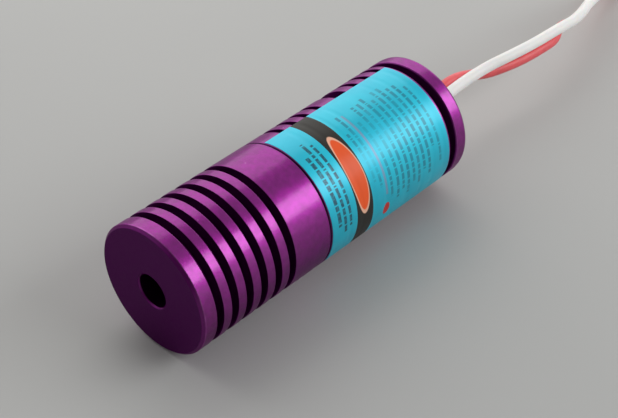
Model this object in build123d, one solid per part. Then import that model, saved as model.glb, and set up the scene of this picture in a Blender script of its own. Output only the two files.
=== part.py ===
"""Laser diode module: a finned, anodised barrel in two halves with a rear cap, a label and two leads.

Lengths are in millimetres. The barrel's axis lies along Y with the beam leaving towards -Y and Z up.
Stations along the barrel are counted from its front face; the origin is the middle of the plain
clamping land, on the axis.
"""
from build123d import *
import math
import os

os.makedirs("parts", exist_ok=True)

# Barrel, outside
BARREL_R = 11.0
CAP_RIM = 2.75
FRONT_CHAMFER = 0.5
EDGE_BREAK = 0.2
CAP_FILLET = 0.7

# Cooling grooves and the plain lands between them
FRONT_LAND = 2.74
FRONT_COUNT = 6
FRONT_PITCH = 3.0
FRONT_GROOVE_WIDTH = 1.4
FRONT_GROOVE_DEPTH = 2.2
REAR_GROOVE_WIDTH = 1.1
REAR_GROOVE_DEPTH = 1.6
REAR_PITCH = 2.8
REAR_LAND = 4.45
REAR_COUNT_A = 4
WIDE_LAND = 3.25
WIDE_GROOVE_WIDTH = 2.5
REAR_LAND_B = 1.9
REAR_COUNT_B = 3
END_LAND = 1.2
CAP_GROOVE_WIDTH = 1.45
CAP_GROOVE_DEPTH = 1.8

# Barrel, inside
APERTURE_R = 2.8
APERTURE_CHAMFER = 0.25
APERTURE_DEPTH = 4.0
CAVITY_DEPTH = 5.0
JOINT_WALL = 2.5
JOINT_STEP = 1.25
JOINT_THREAD = 6.0
SPIGOT_WALL = 1.65
SPIGOT_SHELF = 3.7
REAR_WALL = 3.0
CAP_THREAD_WALL = 2.4
CAP_THREAD = 4.0
CAP_NECK_WALL = 1.95
CAP_WALL = 1.6
CAP_HOLE_R = 3.0

# Clearances
THREAD_CLEARANCE = 0.05
SLIDE_CLEARANCE = 0.05
CAVITY_CLEARANCE = 0.5
CAN_CLEARANCE = 0.425
SPRING_CLEARANCE = 0.5
BOARD_CLEARANCE = 0.8
LEAD_CLEARANCE = 0.1

# Diode holder and the laser diode
HOLDER_SETBACK = 0.2
HOLDER_BODY = 11.1
HOLDER_FLANGE = 2.0
CELL_THREAD_R = 4.5
DIODE_BASE_R = 2.8
DIODE_BASE_THICKNESS = 1.2
CAN_PASSAGE = 2.0
DIODE_CAN_R = 1.775
DIODE_CAN_LENGTH = 2.3
DIODE_CAN_WALL = 0.2
DIODE_PORT_R = 0.8
WINDOW_LAP = 0.3
WINDOW_THICKNESS = 0.25
PIN_R = 0.225
PIN_LENGTH = 6.5
PIN_SIDE = 1.0
PIN_ROOT = 0.8
RING_LAND = 0.7
RING_LAP = 0.8
RING_SEAT = 2.1
RING_THICKNESS = 1.5

# Collimating lens and its cell
CELL_LENGTH = 6.0
CELL_FLOOR = 1.1
CELL_SLOT_WIDTH = 0.8
CELL_SLOT_DEPTH = 0.8
LENS_R = 3.15
LENS_SEAT = 0.65
LENS_EDGE = 1.2
LENS_RIM = 0.7
LENS_DOME_HEIGHT = 0.85
LENS_RING_THICKNESS = 1.2
SPRING_LENGTH = 3.5
SPRING_WIRE = 0.45
SPRING_PITCH = 0.9

# Driver board
BOARD_LENGTH = 24.0
BOARD_THICKNESS = 0.6
BOARD_SETBACK = 1.7
BOARD_CORNER = 0.6
BOARD_MARGIN = 0.7

# What is soldered to the board, with its distance along from the board's front end
CHIP_WIDTH = 3.9
CHIP_LENGTH = 4.9
CHIP_HEIGHT = 1.4
CHIP_LIFT = 0.15
CHIP_CHAMFER = 0.2
CHIP_ALONG = 7.8
LEG_COUNT = 4
LEG_PITCH = 1.27
LEG_WIDTH = 0.4
LEG_GAUGE = 0.18
LEG_REACH = 1.15
LEG_RISE = 0.7
INDUCTOR_R = 2.5
INDUCTOR_HEIGHT = 3.0
INDUCTOR_FLANGE = 0.75
INDUCTOR_WAIST = 0.6
WINDING_DEPTH = 0.45
INDUCTOR_ALONG = 14.2
TRIMMER_WIDTH = 3.4
TRIMMER_HEIGHT = 1.3
TRIMMER_WALL = 0.5
TRIMMER_POCKET = 0.3
TRIMMER_SCREW_HEIGHT = 0.7
TRIMMER_SLOT_WIDTH = 0.35
TRIMMER_SLOT_DEPTH = 0.4
CAPACITOR_WIDTH = 2.8
CAPACITOR_LENGTH = 3.5
CAPACITOR_HEIGHT = 1.9
CAPACITOR_ALONG = 17.6
SMALL_PART_WIDTH = 1.3
SMALL_PART_LENGTH = 2.0
CERAMIC_HEIGHT = 0.9
RESISTOR_HEIGHT = 0.5
SMALL_PART_ALONG = 6.8
SMALL_PART_PITCH = 3.4
FLYBACK_WIDTH = 1.6
FLYBACK_LENGTH = 3.4
FLYBACK_HEIGHT = 1.1
FLYBACK_ALONG = 15.4
PIN_JOINT_R = 0.85
PIN_JOINT_HEIGHT = 0.75
PIN_JOINT_ALONG = 1.5
LEAD_JOINT_R = 1.2
LEAD_JOINT_HEIGHT = 1.45

# Label
LABEL_FRONT_MARGIN = 0.9
LABEL_REAR_MARGIN = 0.5
LABEL_TOP_ANGLE = 107.6
LABEL_LOW_ANGLE = -31.4
LABEL_THICKNESS = 0.07
LABEL_GAP = 0.01

# Grommet and leads
GROMMET_FLANGE_R = 4.0
GROMMET_FLANGE = 0.9
GROMMET_TAPER = 0.3
LEAD_R = 1.0
LEAD_SIDE = 1.05
LEAD_LAP = 3.0
LEAD_PAD_X = 2.5
LEAD_RUN = 5.0
LEAD_STRAIGHT = 3.5
STRAND_R = 0.4
SOLDERED_STRAND = 2.5
BARE_END = 5.0

# Radii and stations that follow
JOINT_THREAD_R = BARREL_R - JOINT_WALL
HOLDER_BORE_R = JOINT_THREAD_R - JOINT_STEP
CAVITY_R = CELL_THREAD_R + CAVITY_CLEARANCE
SPIGOT_R = JOINT_THREAD_R - THREAD_CLEARANCE
SPIGOT_BORE_R = SPIGOT_R - SPIGOT_WALL
REAR_BORE_R = BARREL_R - REAR_WALL
CAP_THREAD_R = BARREL_R - CAP_THREAD_WALL
CAP_NECK_R = CAP_THREAD_R - THREAD_CLEARANCE
CAP_BORE_R = CAP_NECK_R - CAP_NECK_WALL
CELL_BORE_R = LENS_R - LENS_SEAT
RING_R = DIODE_BASE_R + RING_LAND
BOARD_WIDTH = 2 * (SPIGOT_BORE_R - BOARD_CLEARANCE)
SHOULDER_AT = APERTURE_DEPTH + CAVITY_DEPTH
HOLDER_AT = SHOULDER_AT + HOLDER_SETBACK
JOINT_STEP_AT = HOLDER_AT + HOLDER_BODY
JOINT_AT = JOINT_STEP_AT + JOINT_THREAD
FLANGE_END_AT = JOINT_STEP_AT + HOLDER_FLANGE
LAND_FROM = FRONT_LAND + (FRONT_COUNT - 1) * FRONT_PITCH + FRONT_GROOVE_WIDTH
LAND_TO = JOINT_AT - EDGE_BREAK
REAR_A_AT = JOINT_AT + REAR_LAND
WIDE_AT = REAR_A_AT + (REAR_COUNT_A - 1) * REAR_PITCH + REAR_GROOVE_WIDTH + WIDE_LAND
REAR_B_AT = WIDE_AT + WIDE_GROOVE_WIDTH + REAR_LAND_B
CAP_AT = REAR_B_AT + (REAR_COUNT_B - 1) * REAR_PITCH + REAR_GROOVE_WIDTH + END_LAND
CAP_RIM_AT = CAP_AT + CAP_GROOVE_WIDTH
END_AT = CAP_RIM_AT + CAP_RIM
CAP_INNER_AT = END_AT - CAP_WALL
BASE_BACK_AT = FLANGE_END_AT - RING_SEAT
DIODE_SEAT_AT = BASE_BACK_AT - DIODE_BASE_THICKNESS
CELL_STEP_AT = DIODE_SEAT_AT - CAN_PASSAGE
CELL_END_AT = CELL_STEP_AT - SPRING_LENGTH
CELL_AT = CELL_END_AT - CELL_LENGTH
LENS_BACK_AT = CELL_END_AT - CELL_FLOOR
LENS_EDGE_AT = LENS_BACK_AT - LENS_EDGE
BOARD_AT = FLANGE_END_AT + BOARD_SETBACK
BOARD_TOP = -PIN_R
BOARD_UNDER = BOARD_TOP - BOARD_THICKNESS
LEAD_START_AT = BOARD_AT + BOARD_LENGTH - LEAD_LAP
DATUM = (LAND_FROM + LAND_TO) / 2


def turned(points):
    """A solid turned about the barrel's axis from (radius, station) corners."""
    return revolve(make_face(Polyline(*points, close=True)), Axis.Y)


def tube(outer, inner, start, end):
    return turned([(inner, start), (outer, start), (outer, end), (inner, end)])


def rod(radius, start, end, x=0.0, z=0.0):
    return Pos(x, (start + end) / 2, z) * Rot(90, 0, 0) * Cylinder(radius, end - start)


def block(width, length, height, x, station, base, downward=False):
    """A box standing on the height `base`, or hanging from it."""
    middle = base - height / 2 if downward else base + height / 2
    return Pos(x, station, middle) * Box(width, length, height)


def grooves(start, count, pitch, width, depth):
    """Outline corners of a run of cooling grooves."""
    floor = BARREL_R - depth
    corners = []
    for i in range(count):
        front = start + i * pitch
        back = front + width
        corners += [(BARREL_R, front), (floor, front), (floor, back), (BARREL_R, back)]
    return corners


# Barrel and cap
def front_barrel():
    outline = [(APERTURE_R + APERTURE_CHAMFER, 0), (BARREL_R - FRONT_CHAMFER, 0), (BARREL_R, FRONT_CHAMFER)]
    outline += grooves(FRONT_LAND, FRONT_COUNT, FRONT_PITCH, FRONT_GROOVE_WIDTH, FRONT_GROOVE_DEPTH)
    outline += [(BARREL_R, LAND_TO), (BARREL_R - EDGE_BREAK, JOINT_AT)]
    outline += [(JOINT_THREAD_R, JOINT_AT), (JOINT_THREAD_R, JOINT_STEP_AT), (HOLDER_BORE_R, JOINT_STEP_AT)]
    outline += [(HOLDER_BORE_R, SHOULDER_AT), (CAVITY_R, SHOULDER_AT), (CAVITY_R, APERTURE_DEPTH)]
    outline += [(APERTURE_R, APERTURE_DEPTH), (APERTURE_R, APERTURE_CHAMFER)]
    return turned(outline)


def rear_barrel():
    thread_end = CAP_AT - CAP_THREAD - EDGE_BREAK
    shelf = JOINT_AT + SPIGOT_SHELF
    outline = [(SPIGOT_BORE_R, FLANGE_END_AT), (SPIGOT_R, FLANGE_END_AT), (SPIGOT_R, JOINT_AT)]
    outline += [(BARREL_R - EDGE_BREAK, JOINT_AT), (BARREL_R, JOINT_AT + EDGE_BREAK)]
    outline += grooves(REAR_A_AT, REAR_COUNT_A, REAR_PITCH, REAR_GROOVE_WIDTH, REAR_GROOVE_DEPTH)
    outline += grooves(WIDE_AT, 1, REAR_PITCH, WIDE_GROOVE_WIDTH, REAR_GROOVE_DEPTH)
    outline += grooves(REAR_B_AT, REAR_COUNT_B, REAR_PITCH, REAR_GROOVE_WIDTH, REAR_GROOVE_DEPTH)
    outline += [(BARREL_R, CAP_AT - EDGE_BREAK), (BARREL_R - EDGE_BREAK, CAP_AT), (CAP_THREAD_R, CAP_AT)]
    outline += [(CAP_THREAD_R, thread_end), (REAR_BORE_R, thread_end), (REAR_BORE_R, shelf)]
    outline += [(SPIGOT_BORE_R, shelf)]
    return turned(outline)


def rear_cap():
    neck_front = CAP_AT - CAP_THREAD
    waist = BARREL_R - CAP_GROOVE_DEPTH
    outline = [(CAP_BORE_R, neck_front), (CAP_NECK_R, neck_front), (CAP_NECK_R, CAP_AT)]
    outline += [(waist, CAP_AT), (waist, CAP_RIM_AT), (BARREL_R - EDGE_BREAK, CAP_RIM_AT)]
    outline += [(BARREL_R, CAP_RIM_AT + EDGE_BREAK), (BARREL_R, END_AT), (CAP_HOLE_R, END_AT)]
    outline += [(CAP_HOLE_R, CAP_INNER_AT), (CAP_BORE_R, CAP_INNER_AT)]
    cap = turned(outline)
    rim = cap.edges().filter_by(GeomType.CIRCLE).filter_by(lambda e: abs(e.radius - BARREL_R) < 0.01)
    return fillet(rim.sort_by(Axis.Y)[-1], CAP_FILLET)


# Optics
def lens_cell():
    pocket = LENS_R + SLIDE_CLEARANCE
    outer = CELL_THREAD_R - THREAD_CLEARANCE
    body = turned([(pocket, CELL_AT), (outer, CELL_AT), (outer, CELL_END_AT), (CELL_BORE_R, CELL_END_AT),
                   (CELL_BORE_R, LENS_BACK_AT), (pocket, LENS_BACK_AT)])
    slot = Pos(0, CELL_AT + CELL_SLOT_DEPTH / 2, 0) * Box(3 * outer, CELL_SLOT_DEPTH, CELL_SLOT_WIDTH)
    return body - slot


def lens():
    """A plano-convex lens with a flat rim, its plane side towards the diode."""
    dome_r = LENS_R - LENS_RIM
    top = (0, LENS_EDGE_AT - LENS_DOME_HEIGHT)
    ball = (dome_r ** 2 + LENS_DOME_HEIGHT ** 2) / (2 * LENS_DOME_HEIGHT)
    half = math.asin(dome_r / ball) / 2
    middle = (ball * math.sin(half), top[1] + ball * (1 - math.cos(half)))
    dome = ThreePointArc(top, middle, (dome_r, LENS_EDGE_AT))
    rest = Polyline((dome_r, LENS_EDGE_AT), (LENS_R, LENS_EDGE_AT), (LENS_R, LENS_BACK_AT),
                    (0, LENS_BACK_AT), top)
    return revolve(make_face([dome, rest]), Axis.Y)


def lens_ring():
    return tube(LENS_R, CELL_BORE_R, LENS_EDGE_AT - LENS_RING_THICKNESS, LENS_EDGE_AT)


def focus_spring():
    """The coil of square wire that presses the lens cell away from the holder's step."""
    radius = CELL_THREAD_R - SPRING_CLEARANCE - SPRING_WIRE / 2
    line = Helix(SPRING_PITCH, SPRING_LENGTH - SPRING_WIRE, radius)
    section = Plane(line @ 0, x_dir=(1, 0, 0), z_dir=line % 0) * Rectangle(SPRING_WIRE, SPRING_WIRE)
    coil = sweep(section, line, is_frenet=True)
    return Pos(0, CELL_END_AT + SPRING_WIRE / 2, 0) * Rot(-90, 0, 0) * coil


# Diode holder and diode
def diode_holder():
    body = HOLDER_BORE_R - SLIDE_CLEARANCE
    flange = JOINT_THREAD_R - 2 * THREAD_CLEARANCE
    seat = DIODE_BASE_R + SLIDE_CLEARANCE
    passage = DIODE_CAN_R + CAN_CLEARANCE
    return turned([(CELL_THREAD_R, HOLDER_AT), (body, HOLDER_AT), (body, JOINT_STEP_AT),
                   (flange, JOINT_STEP_AT), (flange, FLANGE_END_AT), (RING_R, FLANGE_END_AT),
                   (RING_R, BASE_BACK_AT), (seat, BASE_BACK_AT), (seat, DIODE_SEAT_AT),
                   (passage, DIODE_SEAT_AT), (passage, CELL_STEP_AT), (CELL_THREAD_R, CELL_STEP_AT)])


def pin_places():
    """Two pins lie on the board and the third under it."""
    return [(-PIN_SIDE, 0.0), (PIN_SIDE, 0.0), (0.0, BOARD_UNDER - PIN_R)]


def diode_base():
    base = rod(DIODE_BASE_R, DIODE_SEAT_AT, BASE_BACK_AT)
    for x, z in pin_places():
        base -= rod(PIN_R, BASE_BACK_AT - PIN_ROOT, BASE_BACK_AT, x, z)
    return base


def diode_pins():
    pins = [rod(PIN_R, BASE_BACK_AT - PIN_ROOT, BASE_BACK_AT + PIN_LENGTH, x, z) for x, z in pin_places()]
    return Compound(children=pins)


def diode_can():
    front = DIODE_SEAT_AT - DIODE_CAN_LENGTH
    lid = front + DIODE_CAN_WALL
    inner = DIODE_CAN_R - DIODE_CAN_WALL
    return turned([(DIODE_PORT_R, front), (DIODE_CAN_R, front), (DIODE_CAN_R, DIODE_SEAT_AT),
                   (inner, DIODE_SEAT_AT), (inner, lid), (DIODE_PORT_R, lid)])


def diode_window():
    front = DIODE_SEAT_AT - DIODE_CAN_LENGTH + DIODE_CAN_WALL
    return rod(DIODE_PORT_R + WINDOW_LAP, front, front + WINDOW_THICKNESS)


def diode_ring():
    outer, inner = RING_R - THREAD_CLEARANCE, DIODE_BASE_R - RING_LAP
    return tube(outer, inner, BASE_BACK_AT, BASE_BACK_AT + RING_THICKNESS)


# Driver board and what is soldered to it
def driver_board():
    middle = BOARD_AT + BOARD_LENGTH / 2
    board = block(BOARD_WIDTH, BOARD_LENGTH, BOARD_THICKNESS, 0, middle, BOARD_TOP, True)
    return chamfer(board.edges().filter_by(Axis.Z), BOARD_CORNER)


def beside_edge(width):
    """How far from the middle a part of this width sits when it keeps the margin to the board's edge."""
    return BOARD_WIDTH / 2 - BOARD_MARGIN - width / 2


def upright(radius, height, x, station, base):
    return Pos(x, station, base) * Cylinder(radius, height, align=(Align.CENTER, Align.CENTER, Align.MIN))


def driver_chip():
    body = block(CHIP_WIDTH, CHIP_LENGTH, CHIP_HEIGHT, 0, BOARD_AT + CHIP_ALONG, BOARD_TOP + CHIP_LIFT)
    return chamfer(body.faces().sort_by(Axis.Z)[-1].edges(), CHIP_CHAMFER)


def chip_legs():
    """Gull-wing legs: out of the body's side, down, and flat on the board."""
    side, tip = CHIP_WIDTH / 2, CHIP_WIDTH / 2 + LEG_REACH
    knee, foot = side + LEG_REACH * 0.35, side + LEG_REACH * 0.7
    outline = Polyline((side, LEG_RISE), (knee, LEG_RISE), (foot, 0), (tip, 0), (tip, LEG_GAUGE),
                       (foot + LEG_GAUGE / 2, LEG_GAUGE), (knee + LEG_GAUGE / 2, LEG_RISE + LEG_GAUGE),
                       (side, LEG_RISE + LEG_GAUGE), close=True)
    leg = extrude(Plane.XZ * make_face(outline), LEG_WIDTH / 2, both=True)
    legs = []
    for i in range(LEG_COUNT):
        place = Pos(0, BOARD_AT + CHIP_ALONG + (i - (LEG_COUNT - 1) / 2) * LEG_PITCH, BOARD_TOP)
        legs += [place * leg, place * mirror(leg, Plane.YZ)]
    return Compound(children=legs)


def inductor_place():
    return beside_edge(2 * INDUCTOR_R), BOARD_AT + INDUCTOR_ALONG


def inductor_core():
    """A bobbin of ferrite, waisted for its winding."""
    x, station = inductor_place()
    waist = INDUCTOR_HEIGHT - 2 * INDUCTOR_FLANGE
    neck = upright(INDUCTOR_R - INDUCTOR_WAIST, waist, x, station, BOARD_TOP + INDUCTOR_FLANGE)
    groove = upright(2 * INDUCTOR_R, waist, x, station, BOARD_TOP + INDUCTOR_FLANGE) - neck
    return upright(INDUCTOR_R, INDUCTOR_HEIGHT, x, station, BOARD_TOP) - groove


def inductor_winding():
    x, station = inductor_place()
    waist = INDUCTOR_HEIGHT - 2 * INDUCTOR_FLANGE
    neck = INDUCTOR_R - INDUCTOR_WAIST
    ring = upright(neck + WINDING_DEPTH, waist, x, station, BOARD_TOP + INDUCTOR_FLANGE)
    return ring - upright(neck, waist, x, station, BOARD_TOP + INDUCTOR_FLANGE)


def trimmer_place():
    """Beside the inductor: across, station, and the height of its pocket's floor."""
    floor = BOARD_TOP + TRIMMER_HEIGHT - TRIMMER_POCKET
    return -beside_edge(TRIMMER_WIDTH), BOARD_AT + INDUCTOR_ALONG, floor


def trim_potentiometer():
    x, station, floor = trimmer_place()
    body = block(TRIMMER_WIDTH, TRIMMER_WIDTH, TRIMMER_HEIGHT, x, station, BOARD_TOP)
    return body - upright(TRIMMER_WIDTH / 2 - TRIMMER_WALL, 2 * TRIMMER_POCKET, x, station, floor)


def trimmer_screw():
    x, station, floor = trimmer_place()
    radius = TRIMMER_WIDTH / 2 - TRIMMER_WALL - SLIDE_CLEARANCE
    slot_floor = floor + TRIMMER_SCREW_HEIGHT - TRIMMER_SLOT_DEPTH
    slot = block(1.6 * radius, TRIMMER_SLOT_WIDTH, 2 * TRIMMER_SLOT_DEPTH, x, station, slot_floor)
    cross = block(TRIMMER_SLOT_WIDTH, 1.6 * radius, 2 * TRIMMER_SLOT_DEPTH, x, station, slot_floor)
    return upright(radius, TRIMMER_SCREW_HEIGHT, x, station, floor) - slot - cross


def input_capacitor():
    x, station = -beside_edge(CAPACITOR_WIDTH), BOARD_AT + CAPACITOR_ALONG
    body = block(CAPACITOR_WIDTH, CAPACITOR_LENGTH, CAPACITOR_HEIGHT, x, station, BOARD_UNDER, True)
    return chamfer(body.faces().sort_by(Axis.Z)[0].edges(), CHIP_CHAMFER)


def small_parts(height, places):
    """Chip-sized parts under the board at (across, row) places."""
    parts = []
    for x, row in places:
        station = BOARD_AT + SMALL_PART_ALONG + row * SMALL_PART_PITCH
        parts.append(block(SMALL_PART_WIDTH, SMALL_PART_LENGTH, height, x, station, BOARD_UNDER, True))
    return Compound(children=parts)


def ceramic_capacitors():
    edge = -beside_edge(SMALL_PART_WIDTH)
    return small_parts(CERAMIC_HEIGHT, [(edge, 0), (edge, 1)])


def resistors():
    edge = beside_edge(SMALL_PART_WIDTH)
    return small_parts(RESISTOR_HEIGHT, [(0, 0), (edge, 0), (0, 1)])


def flyback_diode():
    x, station = beside_edge(FLYBACK_WIDTH), BOARD_AT + FLYBACK_ALONG
    return block(FLYBACK_WIDTH, FLYBACK_LENGTH, FLYBACK_HEIGHT, x, station, BOARD_UNDER, True)


def solder_mound(x, station, base, radius, height, downward=False):
    """A cap of a ball standing on the board, or hanging under it."""
    ball = (radius ** 2 + height ** 2) / (2 * height)
    centre = base - height + ball if downward else base + height - ball
    half_space = block(3 * ball, 3 * ball, 3 * ball, x, station, base, downward)
    return Pos(x, station, centre) * Sphere(ball) & half_space


def diode_solder():
    """Each joint wraps its pin and is split under it, where the pin lies on the board."""
    station = BOARD_AT + PIN_JOINT_ALONG
    joints = []
    for x, z in pin_places():
        under = z < BOARD_UNDER
        face = BOARD_UNDER if under else BOARD_TOP
        mound = solder_mound(x, station, face, PIN_JOINT_R, PIN_JOINT_HEIGHT, under)
        crevice = Pos(x, station, (z + face) / 2) * Box(1.6 * PIN_R, 4 * PIN_JOINT_R, PIN_R)
        joints.append(mound - rod(PIN_R, DIODE_SEAT_AT, BASE_BACK_AT + PIN_LENGTH, x, z) - crevice)
    return Compound(children=[s for joint in joints for s in joint.solids()])


def lead_solder():
    station = LEAD_START_AT - SOLDERED_STRAND / 2
    joints = []
    for x in (-LEAD_PAD_X, LEAD_PAD_X):
        mound = solder_mound(x, station, BOARD_TOP, LEAD_JOINT_R, LEAD_JOINT_HEIGHT)
        strand = rod(STRAND_R, LEAD_START_AT - 2 * SOLDERED_STRAND, LEAD_START_AT, x, BOARD_TOP + LEAD_R)
        joints.append(mound - strand)
    return Compound(children=[s for joint in joints for s in joint.solids()])


# Label, grommet and leads
def label():
    """A thin film bent round the barrel, open over the rest of the circle."""
    inner = BARREL_R + LABEL_GAP
    outer = inner + LABEL_THICKNESS
    start, end = JOINT_AT + LABEL_FRONT_MARGIN, CAP_AT - LABEL_REAR_MARGIN
    face = make_face(Polyline((inner, start), (outer, start), (outer, end), (inner, end), close=True))
    return Rot(0, -LABEL_LOW_ANGLE, 0) * revolve(face, -Axis.Y, LABEL_TOP_ANGLE - LABEL_LOW_ANGLE)


def grommet():
    hole = LEAD_SIDE + LEAD_R + LEAD_CLEARANCE
    neck = CAP_HOLE_R - SLIDE_CLEARANCE
    front, back = CAP_INNER_AT - GROMMET_FLANGE, END_AT + GROMMET_FLANGE
    return turned([(hole, front), (GROMMET_FLANGE_R, front), (GROMMET_FLANGE_R, CAP_INNER_AT),
                   (neck, CAP_INNER_AT), (neck, END_AT), (GROMMET_FLANGE_R, END_AT),
                   (GROMMET_FLANGE_R - GROMMET_TAPER, back), (hole, back)])


# Points outside the cap are (across, beyond the cap's end, height)
WHITE_OUTSIDE = [(0.09, 8.63, 0.37), (-0.14, 18.86, 0.2), (0.62, 25.14, 0.03), (1.1, 32.33, -0.38),
                 (0.97, 40.43, -0.94), (0.96, 46.47, -1.56), (-2.05, 55.6, -2.52), (-2.9, 64.5, -4.1),
                 (-3.4, 74.0, -6.6), (-1.0, 83.5, -9.0), (5.5, 91.5, -10.0), (15.0, 96.5, -10.0),
                 (24.0, 97.5, -10.0)]
RED_OUTSIDE = [(-2.12, 9.46, 0.0), (-2.13, 13.61, -0.1), (-1.59, 18.64, -1.63), (-0.39, 21.28, -1.96),
               (1.09, 28.55, -2.22), (1.14, 36.79, -2.74), (0.39, 39.99, -2.95), (-0.33, 43.25, -2.9),
               (-0.2, 45.56, -3.18), (-2.77, 55.19, -4.48), (-4.6, 64.0, -6.0), (-7.4, 73.0, -8.6),
               (-13.0, 81.0, -10.0), (-21.5, 86.5, -10.0), (-31.0, 88.0, -10.0)]


def route(side, outside):
    """From its solder joint along the board, through the grommet and out; side is +1 or -1."""
    height = BOARD_TOP + LEAD_R
    pad, hole = side * LEAD_PAD_X, side * LEAD_SIDE
    inside = [(pad, LEAD_START_AT, height), (pad, LEAD_START_AT + LEAD_RUN, height),
              (hole, END_AT - LEAD_STRAIGHT, 0.0), (hole, END_AT + LEAD_STRAIGHT, 0.0)]
    return [Vector(*p) for p in inside] + [Vector(x, END_AT + beyond, z) for x, beyond, z in outside]


def smooth_line(points):
    """Straight runs joined by arcs that take up most of the shorter neighbour."""
    radii = []
    for before, here, after in zip(points, points[1:], points[2:]):
        half_turn = math.radians((here - before).get_angle(after - here)) / 2
        radii.append(0.45 * min((here - before).length, (after - here).length) / math.tan(half_turn))
    return FilletPolyline(*points, radius=radii), radii


def lead(points):
    line, _ = smooth_line(points)
    return sweep(Plane(line @ 0, z_dir=line % 0) * Circle(LEAD_R), line)


def bare_strands(points):
    """The tinned core: where it is soldered to the board, and the stripped free end."""
    first, last, out = points[0], points[-1], (points[-1] - points[-2]).normalized()
    upward = (Align.CENTER, Align.CENTER, Align.MIN)
    free = Plane(last, z_dir=out) * Cylinder(STRAND_R, BARE_END, align=upward)
    inner = rod(STRAND_R, first.Y - SOLDERED_STRAND, first.Y, first.X, first.Z)
    return Compound(children=[inner, free])


WHITE_ROUTE = route(1, WHITE_OUTSIDE)
RED_ROUTE = route(-1, RED_OUTSIDE)

PIECES = {
    "front_barrel": front_barrel(),
    "rear_barrel": rear_barrel(),
    "rear_cap": rear_cap(),
    "label": label(),
    "lens_cell": lens_cell(),
    "lens": lens(),
    "lens_ring": lens_ring(),
    "focus_spring": focus_spring(),
    "diode_holder": diode_holder(),
    "diode_base": diode_base(),
    "diode_pins": diode_pins(),
    "diode_can": diode_can(),
    "diode_window": diode_window(),
    "diode_ring": diode_ring(),
    "driver_board": driver_board(),
    "driver_chip": driver_chip(),
    "chip_legs": chip_legs(),
    "inductor_core": inductor_core(),
    "inductor_winding": inductor_winding(),
    "trim_potentiometer": trim_potentiometer(),
    "trimmer_screw": trimmer_screw(),
    "input_capacitor": input_capacitor(),
    "ceramic_capacitors": ceramic_capacitors(),
    "resistors": resistors(),
    "flyback_diode": flyback_diode(),
    "diode_solder": diode_solder(),
    "lead_solder": lead_solder(),
    "grommet": grommet(),
    "white_lead": lead(WHITE_ROUTE),
    "red_lead": lead(RED_ROUTE),
    "white_lead_strands": bare_strands(WHITE_ROUTE),
    "red_lead_strands": bare_strands(RED_ROUTE),
}

for name, shape in PIECES.items():
    placed = Pos(0, -DATUM, 0) * shape
    export_step(placed, f"parts/{name}.step")
    print(f"{name:20s} {len(placed.solids()):2d} solids {placed.volume:10.3f} mm3")

for name, points in (("white_lead", WHITE_ROUTE), ("red_lead", RED_ROUTE)):
    line, radii = smooth_line(points)
    print(name, "length", round(line.length, 1), "volume / section",
          round(PIECES[name].volume / (math.pi * LEAD_R ** 2), 1), "radii", [round(r, 1) for r in radii])
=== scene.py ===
"""Looks for the laser diode module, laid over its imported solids.

Sizes are in millimetres, as in the part's source, and MM brings them to Blender's metres. The barrel's
axis is Y, the beam leaves towards -Y and Z is up. Stations are counted along the barrel from its front
face.
"""
import math

import bpy
import numpy as np
from mathutils import Matrix, Vector


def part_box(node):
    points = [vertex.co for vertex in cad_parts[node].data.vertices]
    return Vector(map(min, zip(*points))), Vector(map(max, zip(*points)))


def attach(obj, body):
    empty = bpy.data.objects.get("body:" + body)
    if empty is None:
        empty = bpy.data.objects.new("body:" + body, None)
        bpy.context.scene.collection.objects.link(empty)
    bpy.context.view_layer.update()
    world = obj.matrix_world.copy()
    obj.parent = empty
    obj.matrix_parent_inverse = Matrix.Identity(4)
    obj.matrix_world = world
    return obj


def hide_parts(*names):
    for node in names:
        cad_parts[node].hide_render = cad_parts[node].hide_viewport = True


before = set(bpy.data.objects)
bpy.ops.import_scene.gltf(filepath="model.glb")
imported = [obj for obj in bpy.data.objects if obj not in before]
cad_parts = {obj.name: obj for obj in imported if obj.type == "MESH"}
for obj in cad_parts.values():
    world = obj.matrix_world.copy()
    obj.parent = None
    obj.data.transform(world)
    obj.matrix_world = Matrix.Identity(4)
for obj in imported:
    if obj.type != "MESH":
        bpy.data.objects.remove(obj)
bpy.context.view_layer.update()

MM = 0.001
FRONT_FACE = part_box("front_barrel")[0][1]
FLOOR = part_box("front_barrel")[0][2]

# Barrel, outside. Each groove is its station and its width
BARREL_R = 11.0
FRONT_CHAMFER = 0.5
EDGE_BREAK = 0.2
CAP_FILLET = 0.7
JOINT_AT = 26.9
CAP_AT = 55.8
CAP_RIM_AT = 57.25
END_AT = 60.0
FRONT_PITCH, FRONT_WIDTH = 3.0, 1.4
REAR_PITCH, REAR_WIDTH = 2.8, 1.1
WIDE_GROOVE = (43.5, 2.5)
FRONT_GROOVES = [(2.74 + FRONT_PITCH * i, FRONT_WIDTH) for i in range(6)]
REAR_GROOVES = [(30.75 + REAR_PITCH * i, REAR_WIDTH) for i in range(4)] + [WIDE_GROOVE]
REAR_GROOVES += [(47.9 + REAR_PITCH * i, REAR_WIDTH) for i in range(3)]
FRONT_GROOVE_DEPTH = 2.2
REAR_GROOVE_DEPTH = 1.6
CAP_GROOVE_DEPTH = 1.8

# Barrel, inside
APERTURE_R = 2.8
APERTURE_CHAMFER = 0.25
APERTURE_DEPTH = 4.0
CAVITY_R = 5.0
SHOULDER_AT = 9.0
HOLDER_BORE_R = 7.25
JOINT_THREAD_R = 8.5
JOINT_STEP_AT = 20.3
SPIGOT_R = 8.45
SPIGOT_BORE_R = 6.8
SPIGOT_FROM = 22.3
REAR_BORE_R = 8.0
REAR_BORE_FROM = 30.0
CAP_THREAD_R = 8.6
CAP_THREAD_FROM = 51.6
CAP_NECK_R = 8.55
CAP_NECK_FROM = 51.8
CAP_BORE_R = 6.6
CAP_WALL_AT = 58.4
CAP_HOLE_R = 3.0

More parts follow.
